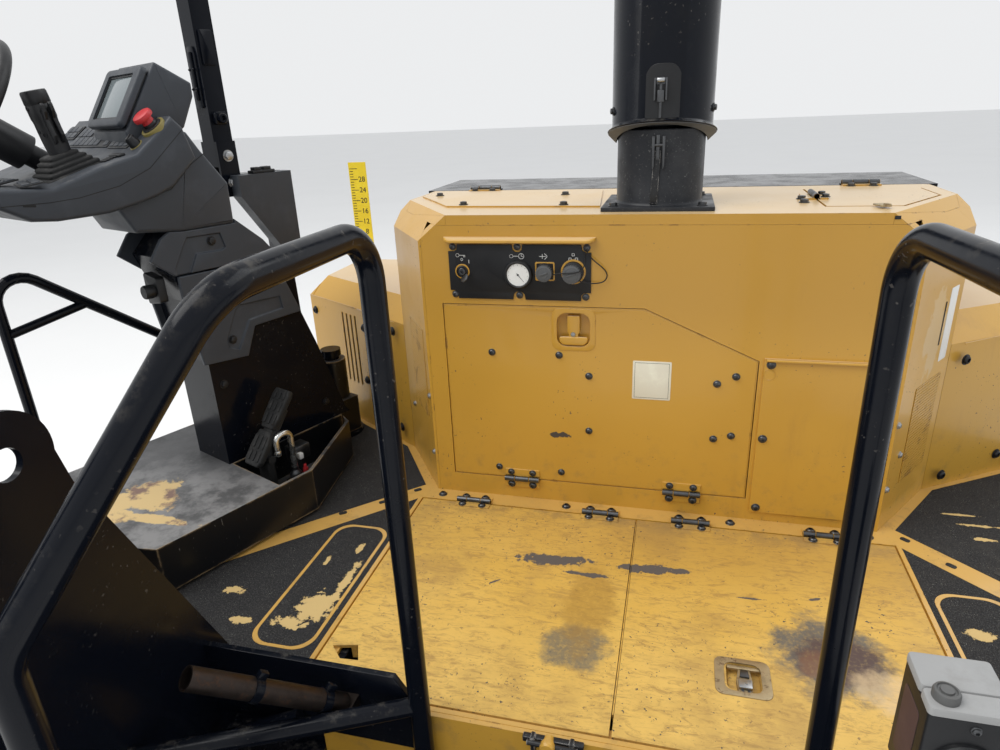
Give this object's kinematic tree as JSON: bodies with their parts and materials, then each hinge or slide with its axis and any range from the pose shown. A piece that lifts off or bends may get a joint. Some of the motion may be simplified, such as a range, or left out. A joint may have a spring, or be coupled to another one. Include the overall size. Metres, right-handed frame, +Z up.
{
  "type": "asphalt paver operator station",
  "caption": "Deck of a tracked paver with engine hood, exhaust stack, handrails, seat and a swing-out control platform.",
  "frame": {"origin": "underside of the frame's cross member, on the machine's centreline, below the hood's hinge line", "axes": "+X to the machine's right, +Y forwards, +Z up"},
  "size_m": [3.0031, 2.5559, 2.1835],
  "materials": {
    "yellow_paint": "gloss",
    "floor_paint": "satin, worn",
    "black_paint": "gloss",
    "tread": "matt anti-slip grit",
    "grey_plastic": "fine grain",
    "black_plastic": "satin",
    "rubber": "matt",
    "bare_steel": "satin",
    "engine_grey": "satin",
    "scale_yellow": "gloss",
    "red_plastic": "gloss",
    "seat_vinyl": "grained vinyl"
  },
  "bodies": {
    "root": {"deck_frame": "black_paint", "deck_pan": "yellow_paint", "walkway_left": "tread", "walkway_right": "tread", "walk_hatches": "tread", "rear_bulkhead": "yellow_paint", "rear_step": "tread", "handrail_left": "black_paint", "handrail_right": "black_paint", "rear_guard": "black_paint", "junction_box": "grey_plastic", "seat_support": "black_paint", "stowed_bar": "bare_steel", "hood_rear_wall": "yellow_paint", "hood_corner_left": "yellow_paint", "hood_corner_right": "yellow_paint", "hood_side_left": "yellow_paint", "hood_side_right": "yellow_paint", "hood_top": "yellow_paint", "top_cover_plate": "yellow_paint", "front_bulkhead": "yellow_paint", "engine_block": "engine_grey", "bolted_panel": "yellow_paint", "instrument_panel": "black_plastic", "side_box_left": "yellow_paint", "side_box_right": "yellow_paint", "stack_base": "black_paint", "pivot_post": "black_paint", "level_scale": "scale_yellow"},
    "floor_door_left": {"floor_door_left": "floor_paint"},
    "floor_door_right": {"floor_door_right": "floor_paint"},
    "service_door": {"service_door": "yellow_paint"},
    "fill_lid": {"fill_lid": "yellow_paint"},
    "engine_cover": {"engine_cover": "black_paint"},
    "stack_upper": {"stack_upper": "black_paint"},
    "platform": {"platform_tray": "black_paint", "pedestal": "black_paint", "pedestal_cover_lower": "grey_plastic", "pedestal_cover_upper": "grey_plastic", "console_body": "grey_plastic", "display": "grey_plastic", "joystick": "black_plastic", "joystick_boot": "rubber", "emergency_stop": "red_plastic", "rotary_knob": "black_plastic", "foot_pedal": "rubber", "brake_lever": "bare_steel", "guard_rail": "black_paint", "mast_base": "black_paint", "mast_bracket": "grey_plastic", "steering_column": "black_plastic"},
    "mast": {"mast": "black_paint"},
    "steering_wheel": {"steering_wheel": "black_plastic"},
    "seat": {"seat_base": "black_plastic", "seat_cushion": "seat_vinyl", "seat_back": "seat_vinyl", "armrests": "black_plastic"}
  },
  "joints": [
    {"name": "floor_door_left_hinge", "type": "hinge", "parent": "root", "child": "floor_door_left", "pos_m": [-0.315, 0, 0.428], "axis": [-1, 0, 0], "range_deg": [0, 80]},
    {"name": "floor_door_right_hinge", "type": "hinge", "parent": "root", "child": "floor_door_right", "pos_m": [0.307, 0, 0.428], "axis": [-1, 0, 0], "range_deg": [0, 80]},
    {"name": "service_door_hinge", "type": "hinge", "parent": "root", "child": "service_door", "pos_m": [-0.13, 0.047, 0.4835], "axis": [-1, 0, 0], "range_deg": [-90, 0]},
    {"name": "fill_lid_hinge", "type": "hinge", "parent": "root", "child": "fill_lid", "pos_m": [0.394, 0.335, 1.235], "axis": [0, -1, 0], "range_deg": [0, 100]},
    {"name": "engine_cover_hinge", "type": "hinge", "parent": "root", "child": "engine_cover", "pos_m": [0, 0.604, 1.235], "axis": [1, 0, 0], "range_deg": [0, 75]},
    {"name": "stack_fold", "type": "hinge", "parent": "root", "child": "stack_upper", "pos_m": [0.008, 0.375, 1.4205], "axis": [1, 0, 0], "range_deg": [-90, 0]},
    {"name": "platform_swing", "type": "hinge", "parent": "root", "child": "platform", "pos_m": [-1.08, 0.38, 0.6], "axis": [0, 0, -1], "range_deg": [-23, 22]},
    {"name": "mast_fold", "type": "hinge", "parent": "platform", "child": "mast", "pos_m": [-1.25511, 0.21316, 1.38], "axis": [-0.9205, 0.3907, 0], "range_deg": [0, 90]},
    {"name": "steering_turn", "type": "hinge", "parent": "platform", "child": "steering_wheel", "pos_m": [-1.48222, -0.36283, 1.50522], "axis": [-0.3161, -0.7447, 0.5878], "range_deg": [-140, 140]},
    {"name": "seat_swivel", "type": "hinge", "parent": "root", "child": "seat", "pos_m": [-1.3, -1.1, 0.76], "axis": [0, 0, 1], "range_deg": [-30, 30]}
  ]
}
